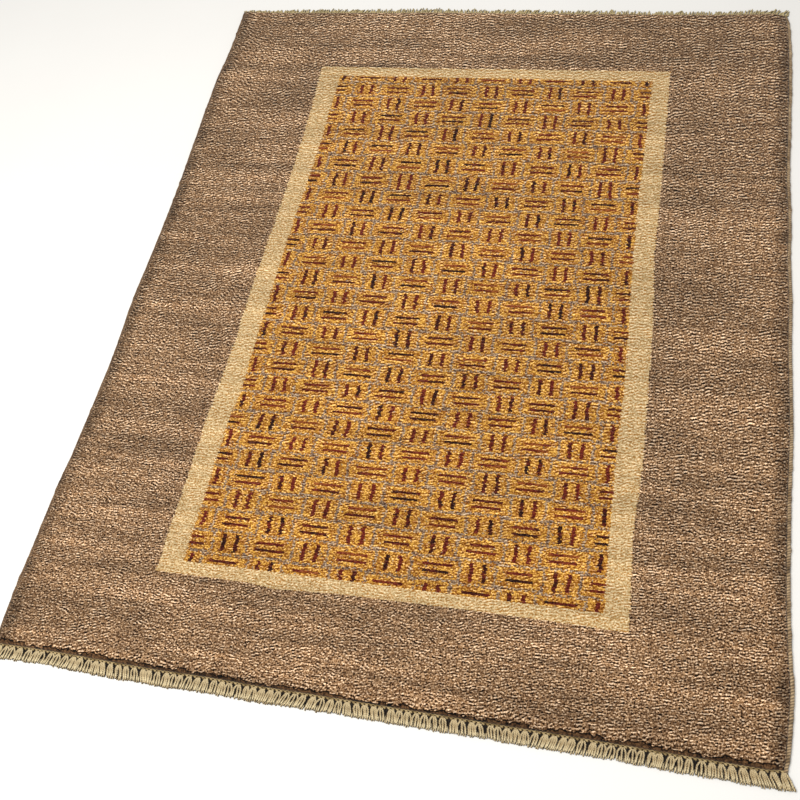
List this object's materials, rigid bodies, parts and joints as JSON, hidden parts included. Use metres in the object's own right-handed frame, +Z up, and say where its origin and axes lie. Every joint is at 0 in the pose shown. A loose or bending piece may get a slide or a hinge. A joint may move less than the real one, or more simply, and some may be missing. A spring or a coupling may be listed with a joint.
{
  "type": "hand-knotted wool rug lying flat",
  "caption": "Flat hand-knotted wool rug with a brown border, cream band and golden basket-weave field, overcast sides, a looped fringe at one end and a short cut fringe at the other.",
  "frame": {"origin": "on the floor under the middle of the whole outline, fringes and selvedges included", "axes": "+X along the near end to the right, +Y along the sides to the far end, +Z up through the pile"},
  "size_m": [1.5104, 1.939, 0.012],
  "materials": {
    "wool_pile": "sheared wool pile, brown border, cream band and golden field, dull with a slight sheen",
    "overcast_wool": "wool yarn wound over the outer warps",
    "cotton_warp": "undyed twisted cotton, matt"
  },
  "bodies": {
    "root": {"pile_carpet": "wool_pile", "selvedge_left": "overcast_wool", "selvedge_right": "overcast_wool", "end_fringe_near": "cotton_warp", "end_fringe_far": "cotton_warp"}
  },
  "joints": []
}
